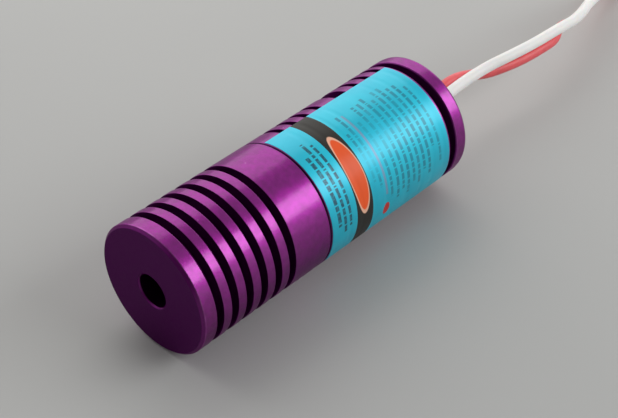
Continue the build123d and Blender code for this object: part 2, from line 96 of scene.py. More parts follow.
# How far corners are rounded: hidden ones, broken edges and the tool's nose
HIDDEN = 0.05
BROKEN = 0.08
TOOL_NOSE = 0.12

# Label
LABEL_R = 11.01
LABEL_THICKNESS = 0.07
LABEL_FROM = 27.2
LABEL_TO = 55.3
LABEL_TOP_ANGLE = 107.6
LABEL_LOW_ANGLE = -31.4
LABEL_SAG = 0.05
SAG_REACH = 0.15
HELD_ANGLE = 0.15
SHARP_ANGLE = 40

# Grommet
GROMMET_BORE_R = 2.15
GROMMET_NECK_R = 2.95
GROMMET_FLANGE_R = 4.0
GROMMET_END_R = 3.7
GROMMET_FROM = 57.5

# Leads
LEAD_R = 1.0
LEAD_EXIT = 60.9

# Camera, as found from the grooves' outlines: its place, its direction and its lens
EYE = (122.10, -119.17, 143.45)
LOOK = (-0.52657, 0.56124, -0.63854)
LENS = 83.79


# Meshes
def rounded(corners, radii, steps=4):
    """A closed outline with its corners rounded. At each corner C the curve (1-t)^2 A + 2t(1-t) C + t^2 B
    takes over, where A and B lie the corner's radius back along its two runs. Also gives the curve's
    direction, and 4t(1-t) on the corners that stand out."""
    c, reach = np.array(corners, float), np.array(radii, float)[:, None]
    back, on = np.roll(c, 1, axis=0) - c, np.roll(c, -1, axis=0) - c
    a = c + reach * back / np.linalg.norm(back, axis=1, keepdims=True)
    b = c + reach * on / np.linalg.norm(on, axis=1, keepdims=True)
    t = np.linspace(0, 1, steps)[None, :, None]
    line = (1 - t) ** 2 * a[:, None] + 2 * t * (1 - t) * c[:, None] + t ** 2 * b[:, None]
    slope = (1 - t) * (c - a)[:, None] + t * (b - c)[:, None]
    stands_out = back[:, 1] * on[:, 0] - back[:, 0] * on[:, 1] > 0
    edge = np.where(stands_out[:, None], 4 * t[..., 0] * (1 - t[..., 0]), 0)
    return line.reshape(-1, 2), slope.reshape(-1, 2), edge.ravel()


def quads_between(number):
    """Quads between the columns of a grid of vertex numbers, whose columns close on themselves."""
    far = np.roll(number, -1, axis=0)
    quads = np.stack([number[:, :-1], far[:, :-1], far[:, 1:], number[:, 1:]], axis=-1)
    return quads.reshape(-1, 4)


def add_mesh(name, points, quads):
    mesh = bpy.data.meshes.new(name)
    mesh.from_pydata(points.reshape(-1, 3).tolist(), [], quads.tolist())
    mesh.shade_smooth()
    piece = bpy.data.objects.new(name, mesh)
    bpy.context.collection.objects.link(piece)
    return piece


def turned(name, corners, radii, steps=192):
    """A solid of revolution: the outline's point (r, y) at the angle a is (r cos a, y, r sin a), and a run
    in the direction (dr, dy) faces (dy cos a, -dr, dy sin a). The mark named edge is on the corners that
    stand out."""
    line, slope, edge = rounded(corners, radii)
    a = np.linspace(0, 2 * np.pi, steps, endpoint=False)[None, :]
    r, y = line[:, :1] * MM, line[:, 1:] * MM + FRONT_FACE
    dr, dy = (slope / np.linalg.norm(slope, axis=1, keepdims=True)).T[:, :, None]
    points = np.stack([r * np.cos(a), y + 0 * a, r * np.sin(a)], axis=-1)
    normals = np.stack([dy * np.cos(a), -dr + 0 * a, dy * np.sin(a)], axis=-1)
    number = np.arange(r.size * steps).reshape(r.size, steps)
    piece = add_mesh(name, points, quads_between(np.hstack([number, number[:, :1]])))
    mark = piece.data.attributes.new("edge", "FLOAT", "POINT")
    mark.data.foreach_set("value", np.repeat(edge, steps).astype("f"))
    piece.data.normals_split_custom_set_from_vertices(normals.reshape(-1, 3).tolist())
    return piece


def outline_of_grooves(grooves, depth):
    """Corners of the grooves, and how far each is rounded: outer edges by the tool's nose, floors by two."""
    corners, radii = [], []
    for start, width in grooves:
        corners += [(BARREL_R, start), (BARREL_R - depth, start)]
        corners += [(BARREL_R - depth, start + width), (BARREL_R, start + width)]
        radii += [TOOL_NOSE, 2 * TOOL_NOSE, 2 * TOOL_NOSE, TOOL_NOSE]
    return corners, radii


def front_barrel():
    grooves, groove_radii = outline_of_grooves(FRONT_GROOVES, FRONT_GROOVE_DEPTH)
    corners = [(APERTURE_R + APERTURE_CHAMFER, 0), (BARREL_R - FRONT_CHAMFER, 0)]
    corners += [(BARREL_R, FRONT_CHAMFER)] + grooves
    corners += [(BARREL_R, JOINT_AT - EDGE_BREAK), (BARREL_R - EDGE_BREAK, JOINT_AT)]
    corners += [(JOINT_THREAD_R, JOINT_AT), (JOINT_THREAD_R, JOINT_STEP_AT)]
    corners += [(HOLDER_BORE_R, JOINT_STEP_AT), (HOLDER_BORE_R, SHOULDER_AT), (CAVITY_R, SHOULDER_AT)]
    corners += [(CAVITY_R, APERTURE_DEPTH), (APERTURE_R, APERTURE_DEPTH), (APERTURE_R, APERTURE_CHAMFER)]
    radii = [0.1, 0.1, 0.14] + groove_radii + [BROKEN] * 2 + [HIDDEN] * 7 + [0.1]
    return turned("front_barrel_skin", corners, radii)


def rear_barrel():
    grooves, groove_radii = outline_of_grooves(REAR_GROOVES, REAR_GROOVE_DEPTH)
    corners = [(SPIGOT_BORE_R, SPIGOT_FROM), (SPIGOT_R, SPIGOT_FROM), (SPIGOT_R, JOINT_AT)]
    corners += [(BARREL_R - EDGE_BREAK, JOINT_AT), (BARREL_R, JOINT_AT + EDGE_BREAK)] + grooves
    corners += [(BARREL_R, CAP_AT - EDGE_BREAK), (BARREL_R - EDGE_BREAK, CAP_AT)]
    corners += [(CAP_THREAD_R, CAP_AT), (CAP_THREAD_R, CAP_THREAD_FROM), (REAR_BORE_R, CAP_THREAD_FROM)]
    corners += [(REAR_BORE_R, REAR_BORE_FROM), (SPIGOT_BORE_R, REAR_BORE_FROM)]
    radii = [HIDDEN] * 3 + [BROKEN] * 2 + groove_radii + [BROKEN] * 2 + [HIDDEN] * 5
    return turned("rear_barrel_skin", corners, radii)


def rear_cap():
    waist = BARREL_R - CAP_GROOVE_DEPTH
    corners = [(CAP_BORE_R, CAP_NECK_FROM), (CAP_NECK_R, CAP_NECK_FROM), (CAP_NECK_R, CAP_AT)]
    corners += [(waist, CAP_AT), (waist, CAP_RIM_AT), (BARREL_R - EDGE_BREAK, CAP_RIM_AT)]
    corners += [(BARREL_R, CAP_RIM_AT + EDGE_BREAK), (BARREL_R, END_AT), (CAP_HOLE_R, END_AT)]
    corners += [(CAP_HOLE_R, CAP_WALL_AT), (CAP_BORE_R, CAP_WALL_AT)]
    radii = [HIDDEN] * 3 + [0.1, 0.2] + [BROKEN] * 2 + [CAP_FILLET, 0.15] + [HIDDEN] * 2
    return turned("rear_cap_skin", corners, radii)


def grommet():
    corners = [(GROMMET_BORE_R, GROMMET_FROM), (GROMMET_FLANGE_R, GROMMET_FROM)]
    corners += [(GROMMET_FLANGE_R, CAP_WALL_AT), (GROMMET_NECK_R, CAP_WALL_AT)]
    corners += [(GROMMET_NECK_R, END_AT), (GROMMET_FLANGE_R, END_AT)]
    corners += [(GROMMET_END_R, LEAD_EXIT), (GROMMET_BORE_R, LEAD_EXIT)]
    return turned("grommet_skin", corners, [0.2] * 2 + [0.1] * 4 + [0.3, 0.25], steps=96)


def label(along=150, round_it=140):
    """The film bent round the barrel: radius R + thickness k - sag, with k 0 inside and 1 outside. It sags
    where it bridges a groove: the sag is its depth times a bell (1 - x^2)^2 across the groove, times
    0.7 + 0.3 sin(5a + y/3), so that it is a little deeper and shallower round the barrel, and it dies out
    over the last HELD_ANGLE radians at the film's two ends."""
    run = np.linspace(LABEL_FROM, LABEL_TO, along)
    station = np.concatenate([run, run[::-1]])[:, None]
    outside = np.repeat([1.0, 0.0], along)[:, None]
    a = np.radians(np.linspace(LABEL_LOW_ANGLE, LABEL_TOP_ANGLE, round_it))[None, :]
    middles = np.array([start + width / 2 for start, width in REAR_GROOVES])
    halves = np.array([width / 2 + SAG_REACH for _, width in REAR_GROOVES])
    x = np.clip(np.abs(station - middles) / halves, 0, 1)
    bell = ((1 - x ** 2) ** 2).sum(axis=1, keepdims=True)
    waver = 0.7 + 0.3 * np.sin(5 * a + station / 3)
    free = np.clip(np.minimum(a - a.min(), a.max() - a) / HELD_ANGLE, 0, 1)
    r = (LABEL_R + LABEL_THICKNESS * outside - LABEL_SAG * bell * waver * free) * MM
    y = station * MM + FRONT_FACE + 0 * a
    points = np.stack([r * np.cos(a), y, r * np.sin(a)], axis=-1)

    number = np.arange(r.size).reshape(r.shape)
    outer, inner = number[:along], number[::-1][:along]
    low = [outer[1:, 0], outer[:-1, 0], inner[:-1, 0], inner[1:, 0]]
    top = [outer[:-1, -1], outer[1:, -1], inner[1:, -1], inner[:-1, -1]]
    ends = [np.stack(end, axis=-1) for end in (low, top)]
    piece = add_mesh("label_film", points, np.concatenate([quads_between(number), *ends]))

    arc = np.radians(LABEL_TOP_ANGLE - np.degrees(a)) * (LABEL_R + LABEL_THICKNESS)
    place = np.stack([arc + 0 * y, station + 0 * a], axis=-1).reshape(-1, 2)
    corners = np.empty(len(piece.data.loops), dtype=int)
    piece.data.loops.foreach_get("vertex_index", corners)
    flat = piece.data.uv_layers.new(name="print")
    flat.uv.foreach_set("vector", place[corners].ravel().astype("f"))
    piece.data.set_sharp_from_angle(angle=math.radians(SHARP_ANGLE))
    return piece


def lead(name, route):
    """A round lead along the NURBS line of its route, (across, station, height) in millimetres."""
    curve = bpy.data.curves.new(name, "CURVE")
    curve.dimensions = "3D"
    curve.bevel_depth = LEAD_R * MM
    curve.bevel_resolution = 8
    curve.resolution_u = 24
    curve.use_fill_caps = True
    line = curve.splines.new("NURBS")
    line.points.add(len(route) - 1)
    for point, (x, station, z) in zip(line.points, route):
        point.co = (x * MM, station * MM + FRONT_FACE, z * MM, 1)
    line.order_u = 3
    line.use_endpoint_u = True
    piece = bpy.data.objects.new(name, curve)
    bpy.context.collection.objects.link(piece)
    return piece


# Routes of the leads: through the grommet, down to the table in a loose twist, and on along it
WHITE_ROUTE = [(2.5, 45, 0.775), (2.5, 50, 0.775), (1.05, 56.5, 0), (1.05, 63.5, 0), (0.09, 68.63, 0.37),
               (-0.14, 78.86, 0.2), (0.62, 85.14, 0.03), (1.1, 92.33, -0.38), (0.97, 100.43, -0.94),
               (0.96, 106.47, -1.56), (-2.05, 115.6, -2.52), (-2.9, 124.5, -4.1), (-3.4, 134, -6.6),
               (-1, 143.5, -9), (5.5, 151.5, -10), (15, 156.5, -10), (24, 157.5, -10)]
RED_ROUTE = [(-2.5, 45, 0.775), (-2.5, 50, 0.775), (-1.05, 56.5, 0), (-1.05, 63.5, 0), (-2.12, 69.46, 0),
             (-2.13, 73.61, -0.1), (-1.59, 78.64, -1.63), (-0.39, 81.28, -1.96), (1.09, 88.55, -2.22),
             (1.14, 96.79, -2.74), (0.57, 100, -3.12), (-1.01, 102.95, -2.85), (-0.42, 107.36, -3.29),
             (-2.96, 115.28, -4.92), (-5.82, 122.61, -7), (-6.94, 133.05, -8.92), (-13, 141, -10),
             (-21.5, 146.5, -10), (-31, 148, -10)]


# Nodes
def set_or_link(tree, socket, value):
    if isinstance(value, bpy.types.NodeSocket):
        tree.links.new(value, socket)
    else:
        socket.default_value = value


def node(tree, kind, inputs=None, **fields):
    """Adds a node, sets its fields, and links or sets its inputs."""
    made = tree.nodes.new("ShaderNode" + kind)
    for field, value in fields.items():
        setattr(made, field, value)
    for socket, value in (inputs or {}).items():
        set_or_link(tree, made.inputs[socket], value)
    return made


def maths(tree, operation, *values):
    made = node(tree, "Math", operation=operation)
    for socket, value in zip(made.inputs, values):
        set_or_link(tree, socket, value)
    return made.outputs[0]


def product(tree, first, *others):
    for other in others:
        first = maths(tree, "MULTIPLY", first, other)
    return first


def highest(tree, first, *others):
    for other in others:
        first = maths(tree, "MAXIMUM", first, other)
    return first


def scaled(tree, value, by, plus):
    """value * by + plus."""
    return maths(tree, "MULTIPLY_ADD", value, by, plus)


def span(tree, value, low, high, to_low=0.0, to_high=1.0):
    """Goes smoothly from to_low, where the value is low, to to_high, where it is high."""
    made = node(tree, "MapRange", {"Value": value, "From Min": low, "From Max": high, "To Min": to_low,
                                   "To Max": to_high}, interpolation_type="SMOOTHSTEP")
    return made.outputs["Result"]


def blend(tree, amount, a, b):
    made = node(tree, "Mix", data_type="RGBA")
    for socket, value in ((made.inputs[0], amount), (made.inputs[6], a), (made.inputs[7], b)):
        set_or_link(tree, socket, value)
    return made.outputs[2]


def parts_of(tree, vector):
    return node(tree, "SeparateXYZ", {0: vector}).outputs


def facing(tree):
    """The x, y and z of the way that the surface faces."""
    return parts_of(tree, node(tree, "NewGeometry").outputs["Normal"])


# Shared effects
def effect(name, inputs, outputs):
    """A node group with named inputs, each a float with its usual value or a vector, and named outputs."""
    group = bpy.data.node_groups.new(name, "ShaderNodeTree")
    for title, usual in inputs.items():
        kind = "NodeSocketVector" if usual is None else "NodeSocketFloat"
        socket = group.interface.new_socket(title, in_out="INPUT", socket_type=kind)
        if usual is not None:
            socket.default_value = usual
    for title in outputs:
        group.interface.new_socket(title, in_out="OUTPUT", socket_type="NodeSocketFloat")
    return group, group.nodes.new("NodeGroupInput").outputs, group.nodes.new("NodeGroupOutput").inputs


def use(tree, group, **inputs):
    made = tree.nodes.new("ShaderNodeGroup")
    made.node_tree = group
    for title, value in inputs.items():
        set_or_link(tree, made.inputs[title.replace("_", " ")], value)
    return made.outputs


def make_grain():
    """Soft mottling and fine grain: two octaves of noise, near 0.5 on average."""
    usual = {"Place": None, "Coarse": 200.0, "Fine": 3000.0}
    group, given, out = effect("grain", usual, ["Mottle", "Grain"])
    for title, scale, detail in (("Mottle", "Coarse", 3.0), ("Grain", "Fine", 2.0)):
        noise = node(group, "TexNoise", {"Vector": given["Place"], "Scale": given[scale], "Detail": detail})
        group.links.new(noise.outputs[0], out[title])
    return group


def make_turning():
    """Marks of the lathe tool: noise along the axis plus noise along the radius, so that every turned face
    has rings, and the radius itself."""
    group, given, out = effect("turning marks", {"Place": None, "Rings": 9000.0}, ["Marks", "Radius"])
    x, y, z = parts_of(group, given["Place"])
    radius = maths(group, "SQRT", maths(group, "ADD", product(group, x, x), product(group, z, z)))
    along, across = (node(group, "TexNoise", {"W": way, "Scale": given["Rings"], "Detail": 2.0},
                          noise_dimensions="1D").outputs[0] for way in (y, radius))
    group.links.new(product(group, maths(group, "ADD", along, across), 0.5), out["Marks"])
    group.links.new(radius, out["Radius"])
    return group


def make_dust():
    """Fine dust that has settled on what faces up: specks times the upward part of the normal."""
    group, given, out = effect("dust", {"Place": None, "Amount": 0.5}, ["Mask"])
    specks = node(group, "TexVoronoi", {"Vector": given["Place"], "Scale": 700.0, "Randomness": 1.0}).outputs
    dots = span(group, specks["Distance"], 0.12, 0.05)
    chance = node(group, "SeparateColor", {0: specks["Color"]}).outputs[0]
    some = span(group, chance, 0.80, 0.95)
    upward = span(group, facing(group)[2], 0.2, 0.9)
    group.links.new(product(group, dots, some, upward, given["Amount"]), out["Mask"])
    return group


def make_edge_wear():
    """Lighter, thinner finish on the edges that stand out, broken up by noise. The mesh marks those edges."""
    group, given, out = effect("edge wear", {"Place": None, "Amount": 1.0}, ["Mask"])
    edge = node(group, "Attribute", attribute_name="edge").outputs["Fac"]
    noise = node(group, "TexNoise", {"Vector": given["Place"], "Scale": 900.0, "Detail": 3.0}).outputs[0]
    patches = span(group, noise, 0.35, 0.65, 0.35, 1.0)
    group.links.new(product(group, edge, patches, given["Amount"]), out["Mask"])
    return group


def make_row():
    """One row of short bars: inside its height and between its ends, with a gap in each step of the row at
    a random place, so that the bars' lengths vary. Lengths are in the map's millimetres."""
    usual = {"Arc": 0.0, "Station": 0.0, "Row": 0.0, "Half height": 0.3, "From": 0.0, "To": 1.0, "Step": 2.6,
             "Gap": 0.5, "Seed": 0.0}
    group, given, out = effect("row of bars", usual, ["Mask"])
    arc, step, gap = given["Arc"], given["Step"], given["Gap"]
    off = maths(group, "ABSOLUTE", maths(group, "SUBTRACT", given["Station"], given["Row"]))
    high = maths(group, "LESS_THAN", off, given["Half height"])
    begun = maths(group, "GREATER_THAN", arc, given["From"])
    ended = maths(group, "LESS_THAN", arc, given["To"])
    steps = maths(group, "DIVIDE", arc, step)
    draw = maths(group, "ADD", maths(group, "FLOOR", steps), given["Seed"])
    chance = node(group, "TexWhiteNoise", {"W": draw}, noise_dimensions="1D").outputs["Value"]
    in_step = product(group, maths(group, "FRACT", steps), step)
    gap_at = product(group, chance, maths(group, "SUBTRACT", step, gap))
    past = maths(group, "SUBTRACT", in_step, gap_at)
    in_gap = product(group, maths(group, "GREATER_THAN", past, 0.0), maths(group, "LESS_THAN", past, gap))
    solid = maths(group, "SUBTRACT", 1.0, in_gap)
    group.links.new(product(group, high, begun, ended, solid), out["Mask"])
    return group


GRAIN = make_grain()
TURNING = make_turning()
DUST = make_dust()
EDGE_WEAR = make_edge_wear()
ROW = make_row()

# Colours of the barrel's dye, of its worn and sunken places and of dust, and painted shade for its end faces,
# its seam and the beam's hole
PURPLE_DARK, PURPLE_LIGHT = (0.221, 0.0, 0.196, 1), (0.275, 0.001, 0.246, 1)
WORN_EDGE = (0.52, 0.165, 0.50, 1)
# Painted shade: the end faces, and the front chamfer in part, are coloured darker than the dye
END_FACE_SHADE = (0.102, 0.001, 0.106, 1)
GROOVE = (0.26, 0.002, 0.24, 1)
# Painted shade: a dark line in the seam between the halves
SEAM_SHADE = (0.050, 0.001, 0.050, 1)
# Painted shade inside the beam's hole
BEAM_HOLE_SHADE = (0.033, 0.001, 0.033, 1)
PURPLE_DUST = (0.7, 0.65, 0.7, 1)
GREY_DUST = (0.6, 0.6, 0.6, 1)

# Colours of the label
CYAN_DARK, CYAN_LIGHT = (0.003, 0.51, 0.69, 1), (0.006, 0.585, 0.755, 1)
BOLD_INK = (0.010, 0.062, 0.108, 1)
FINE_INK = (0.006, 0.165, 0.27, 1)
FAINT_INK = (0.335, 0.275, 0.46, 1)
DOT_RED = (0.56, 0.038, 0.030, 1)
BAND_BLACK = (0.020, 0.0175, 0.0133, 1)
OVAL_RIM = (0.95, 0.52, 0.36, 1)
OVAL_ORANGE = (1.0, 0.115, 0.018, 1)

# The label's print on its map, whose units are millimetres down from its top edge and stations along the
# barrel. Rows: (station, from, to, half height, seed)
BOLD_ROWS = [(28.9, 7.4, 19.9, 0.36, 3), (30.1, 4.9, 21.5, 0.29, 11), (31.3, 5.9, 20.9, 0.27, 23)]
FINE_ROWS = [(37.7, 7.7, 16.6, 0.26, 31), (38.8, 4.1, 18.0, 0.28, 37), (41.0, 7.0, 20.9, 0.28, 41),
             (42.5, 4.1, 22.0, 0.30, 47), (43.8, 4.1, 21.0, 0.30, 53), (45.1, 3.5, 22.6, 0.30, 59),
             (46.4, 5.0, 21.0, 0.30, 61), (47.7, 3.5, 22.0, 0.30, 67), (49.0, 3.5, 20.0, 0.30, 71),
             (50.3, 4.6, 21.5, 0.30, 79), (51.6, 4.6, 17.0, 0.30, 83), (53.0, 6.0, 20.5, 0.26, 89)]
BOLD_STEP, BOLD_GAP = 1.5, 0.26
FINE_STEP, FINE_GAP = 1.25, 0.22
# Faint line: (station, from, to, half height). Band: stations. Ellipses: middle, then half length and width
FAINT_LINE = (39.85, 4.4, 19.9, 0.22)
BAND = (32.8, 36.5)
OVAL = (13.44, 34.65, 7.06, 1.65)
DOT = (22.9, 39.9, 1.35, 0.75)


# Materials
def finish(name, **settings):
    """An empty material with its Principled shader and Object coordinates. Settings are the shader's
    constants."""
    material = bpy.data.materials.new(name)
    material.use_nodes = True
    tree = material.node_tree
    shader = tree.nodes["Principled BSDF"].inputs
    for socket, value in settings.items():
        shader[socket.replace("_", " ")].default_value = value
    return material, tree, shader, node(tree, "TexCoord").outputs["Object"]


def bump(tree, shader, height, depth, strength=1.0):
    """Raises the surface by the height, depth millimetres for a height of 1."""
    made = node(tree, "Bump", {"Height": height, "Distance": depth * MM, "Strength": strength})
    tree.links.new(made.outputs[0], shader["Normal"])


def mottled(tree, grain, dark, light, low=0.3, high=0.7):
    return blend(tree, span(tree, grain["Mottle"], low, high), dark, light)


def anodised():
    """Dyed anodising on turned aluminium: rings from the lathe, duller on the end faces, chalkier in the
    grooves, thinner on the edges. Painted shade darkens the end faces and, in part, the front chamfer;
    painted shade also makes a dark line in the seam between the halves and darkens the beam's hole."""
    material, tree, shader, place = finish("purple anodised", Coat_Roughness=0.2, Coat_IOR=2.0,
                                            Specular_Tint=(0.45, 0.02, 0.45, 1))
    marks = use(tree, TURNING, Place=place)
    grain = use(tree, GRAIN, Place=place, Coarse=950.0, Fine=5200.0)
    radius = marks["Radius"]
    # End faces: a rougher, less glossy finish, plus painted shade through their darker colour
    end_face = span(tree, maths(tree, "ABSOLUTE", facing(tree)[1]), 0.5, 0.85)
    outside = span(tree, radius, 5.5 * MM, 6.5 * MM)
    worn = product(tree, use(tree, EDGE_WEAR, Place=place, Amount=0.45)["Mask"], outside)
    below = span(tree, radius, (BARREL_R - 0.02) * MM, (BARREL_R - 1.1) * MM)
    deep = product(tree, below, maths(tree, "SUBTRACT", 1.0, end_face))
    from_seam = maths(tree, "SUBTRACT", parts_of(tree, place)[1], JOINT_AT * MM + FRONT_FACE)
    # Painted shade along the seam between the halves
    seam = span(tree, maths(tree, "ABSOLUTE", from_seam), 0.28 * MM, 0.12 * MM)
    # Painted shade inside the beam's hole, darker than the grooves' colour
    hole_shade = span(tree, radius, (APERTURE_R + 0.2) * MM, (APERTURE_R - 0.1) * MM)
    dust = use(tree, DUST, Place=place, Amount=0.35)["Mask"]

    colour = mottled(tree, grain, PURPLE_DARK, PURPLE_LIGHT)
    for amount, tint in ((worn, WORN_EDGE), (end_face, END_FACE_SHADE), (deep, GROOVE), (seam, SEAM_SHADE),
                         (hole_shade, BEAM_HOLE_SHADE), (dust, PURPLE_DUST)):
        colour = blend(tree, amount, colour, tint)
    tree.links.new(colour, shader["Base Color"])
    rough = maths(tree, "ADD", scaled(tree, grain["Grain"], 0.10, 0.31), product(tree, end_face, 0.15))
    tree.links.new(rough, shader["Roughness"])
    tree.links.new(scaled(tree, product(tree, deep, outside), -0.6, 1.0), shader["Metallic"])
    bare = highest(tree, deep, seam, end_face)
    tree.links.new(scaled(tree, bare, -0.27, 0.375), shader["Coat Weight"])
    fine = maths(tree, "ADD", grain["Grain"], marks["Marks"])
    bump(tree, shader, scaled(tree, grain["Mottle"], 1.6, fine), 0.018)
    return material


def label_film():
    """Glossy printed film: plain fields, an oval, a dot and rows of bars on its own map."""
    material, tree, shader, place = finish("printed label film", Coat_Roughness=0.3, Coat_IOR=1.8,
                                            Specular_IOR_Level=0.15)
    arc, station, _ = parts_of(tree, node(tree, "UVMap", uv_map="print").outputs[0])
    grain = use(tree, GRAIN, Place=place, Coarse=150.0, Fine=2600.0)

    def rows(table, step, gap):
        masks = [use(tree, ROW, Arc=arc, Station=station, Row=row, Half_height=half_height, From=start,
                     To=end, Step=step, Gap=gap, Seed=float(seed))["Mask"]
                 for row, start, end, half_height, seed in table]
        return highest(tree, *masks)

    def ellipse(middle_arc, middle_station, half_length, half_width):
        """((u - u0) / a)^2 + ((v - v0) / b)^2, which is 1 on the ellipse."""
        u = maths(tree, "DIVIDE", maths(tree, "SUBTRACT", arc, middle_arc), half_length)
        v = maths(tree, "DIVIDE", maths(tree, "SUBTRACT", station, middle_station), half_width)
        return maths(tree, "ADD", product(tree, u, u), product(tree, v, v))

    bold = product(tree, rows(BOLD_ROWS, BOLD_STEP, BOLD_GAP),
                   span(tree, grain["Grain"], 0.3, 0.6, 0.62, 0.92))
    fine = product(tree, rows(FINE_ROWS, FINE_STEP, FINE_GAP),
                   span(tree, grain["Mottle"], 0.35, 0.62, 0.2, 0.66))
    row, start, end, half_height = FAINT_LINE
    line = use(tree, ROW, Arc=arc, Station=station, Row=row, Half_height=half_height, From=start, To=end,
               Gap=0.0)["Mask"]
    dot = span(tree, ellipse(*DOT), 1.0, 0.86)
    band = product(tree, maths(tree, "GREATER_THAN", station, BAND[0]),
                   maths(tree, "LESS_THAN", station, BAND[1]))
    to_oval = ellipse(*OVAL)
    oval, inside_rim = span(tree, to_oval, 1.06, 0.98), span(tree, to_oval, 0.86, 0.78)

    colour = mottled(tree, grain, CYAN_DARK, CYAN_LIGHT)
    for amount, ink in ((bold, BOLD_INK), (fine, FINE_INK), (product(tree, line, 0.55), FAINT_INK),
                        (dot, DOT_RED), (band, BAND_BLACK), (oval, OVAL_RIM), (inside_rim, OVAL_ORANGE)):
        colour = blend(tree, amount, colour, ink)
    tree.links.new(colour, shader["Base Color"])
    opaque = highest(tree, band, dot, oval)
    tree.links.new(scaled(tree, opaque, -0.66, 0.66), shader["Metallic"])
    tree.links.new(scaled(tree, opaque, -0.22, 0.42), shader["Coat Weight"])
    tree.links.new(scaled(tree, grain["Mottle"], 0.16, 0.51), shader["Roughness"])
    bump(tree, shader, grain["Mottle"], 0.06)
    return material


def insulation(name, light, dark, **settings):
    """Soft extruded insulation: faint mottling, a slightly uneven sheen and fine marks."""
    material, tree, shader, place = finish(name, **settings)
    grain = use(tree, GRAIN, Place=place, Coarse=320.0, Fine=4200.0)
    tree.links.new(mottled(tree, grain, dark, light), shader["Base Color"])
    tree.links.new(scaled(tree, grain["Grain"], 0.2, 0.32), shader["Roughness"])
    bump(tree, shader, grain["Grain"], 0.02)
    return material


def plain_metal(name, light, dark, rough, rings=0.0, **settings):
    """Bare or plated metal with patchy tone, grain in its gloss and, where rings is set, marks of the
    lathe."""
    material, tree, shader, place = finish(name, Metallic=1.0, **settings)
    grain = use(tree, GRAIN, Place=place, Coarse=700.0, Fine=9000.0)
    marks = use(tree, TURNING, Place=place, Rings=12000.0)
    tree.links.new(mottled(tree, grain, dark, light), shader["Base Color"])
    tree.links.new(scaled(tree, grain["Grain"], 0.16, rough - 0.08), shader["Roughness"])
    bump(tree, shader, scaled(tree, marks["Marks"], rings, grain["Grain"]), 0.008)
    return material


def moulded(name, light, dark, rough, texture=0.01):
    """Moulded plastic, rubber or ceramic: two close tones, a fine surface and a little dust."""
    material, tree, shader, place = finish(name)
    grain = use(tree, GRAIN, Place=place, Coarse=900.0, Fine=11000.0)
    dust = use(tree, DUST, Place=place, Amount=0.2)["Mask"]
    colour = blend(tree, dust, mottled(tree, grain, dark, light), GREY_DUST)
    tree.links.new(colour, shader["Base Color"])
    tree.links.new(scaled(tree, grain["Grain"], 0.2, rough - 0.1), shader["Roughness"])
    bump(tree, shader, grain["Grain"], texture)
    return material


def glass(name, tint, **settings):
    """Clear glass with a coated surface whose gloss is a little uneven."""
    material, tree, shader, place = finish(name, Transmission_Weight=1.0, IOR=1.52, **settings)
    grain = use(tree, GRAIN, Place=place, Coarse=500.0, Fine=6000.0)
    tree.links.new(mottled(tree, grain, tint, (0.98, 0.98, 1.0, 1)), shader["Base Color"])
    tree.links.new(product(tree, grain["Grain"], 0.04), shader["Roughness"])
    return material


def board_mask():
    """Green solder mask: lighter where straight copper tracks run under it, along one way or the other by
    cell."""
    material, tree, shader, place = finish("solder mask", Coat_Weight=0.3, Coat_Roughness=0.2)
    track_pitch = 1.1 * MM
    x, y, _ = parts_of(tree, place)
    cells = node(tree, "TexVoronoi", {"Vector": place, "Scale": 260.0}, distance="CHEBYCHEV")
    chance = node(tree, "SeparateColor", {0: cells.outputs["Color"]}).outputs[0]
    along = node(tree, "Mix", {0: maths(tree, "GREATER_THAN", chance, 0.5), 2: x, 3: y}).outputs[0]
    wave = maths(tree, "SINE", product(tree, along, 2 * math.pi / track_pitch))
    track = span(tree, wave, 0.25, 0.45)
    grain = use(tree, GRAIN, Place=place, Coarse=400.0, Fine=7000.0)
    base = mottled(tree, grain, (0.008, 0.10, 0.035, 1), (0.012, 0.14, 0.05, 1))
    tree.links.new(blend(tree, track, base, (0.03, 0.24, 0.08, 1)), shader["Base Color"])
    tree.links.new(scaled(tree, grain["Grain"], 0.15, 0.27), shader["Roughness"])
    bump(tree, shader, track, 0.03)
    return material


def floor_surface():
    """Pale matt card with a soft, wide unevenness."""
    material, tree, shader, place = finish("pale card", Roughness=0.62)
    grain = use(tree, GRAIN, Place=place, Coarse=9.0, Fine=1500.0)
    colour = mottled(tree, grain, (0.488, 0.488, 0.479, 1), (0.517, 0.517, 0.507, 1), 0.2, 0.8)
    tree.links.new(colour, shader["Base Color"])
    bump(tree, shader, grain["Grain"], 0.01, 0.4)
    return material


# Light tone, dark tone and roughness of each
brass = plain_metal("brass", (0.80, 0.58, 0.26, 1), (0.66, 0.44, 0.17, 1), 0.30, rings=1.0)
steel = plain_metal("spring steel", (0.58, 0.57, 0.56, 1), (0.45, 0.45, 0.46, 1), 0.32)
gold = plain_metal("gold plate", (0.98, 0.74, 0.34, 1), (0.88, 0.60, 0.24, 1), 0.22, rings=0.6)
tin = plain_metal("tinned metal", (0.78, 0.78, 0.77, 1), (0.60, 0.60, 0.61, 1), 0.34)
copper = plain_metal("enamelled copper", (0.86, 0.42, 0.22, 1), (0.70, 0.28, 0.12, 1), 0.28,
                     Coat_Weight=0.5)
black_plastic = moulded("black epoxy", (0.030, 0.030, 0.032, 1), (0.018, 0.018, 0.019, 1), 0.5)
rubber = moulded("grommet rubber", (0.028, 0.028, 0.030, 1), (0.016, 0.016, 0.017, 1), 0.62,
                 texture=0.02)
ferrite = moulded("ferrite", (0.060, 0.058, 0.060, 1), (0.035, 0.034, 0.036, 1), 0.6)
blue_plastic = moulded("blue plastic", (0.03, 0.12, 0.42, 1), (0.02, 0.085, 0.33, 1), 0.42)
tantalum = moulded("yellow epoxy", (0.80, 0.48, 0.06, 1), (0.68, 0.38, 0.04, 1), 0.45)
ceramic = moulded("tan ceramic", (0.48, 0.34, 0.20, 1), (0.38, 0.26, 0.15, 1), 0.4)
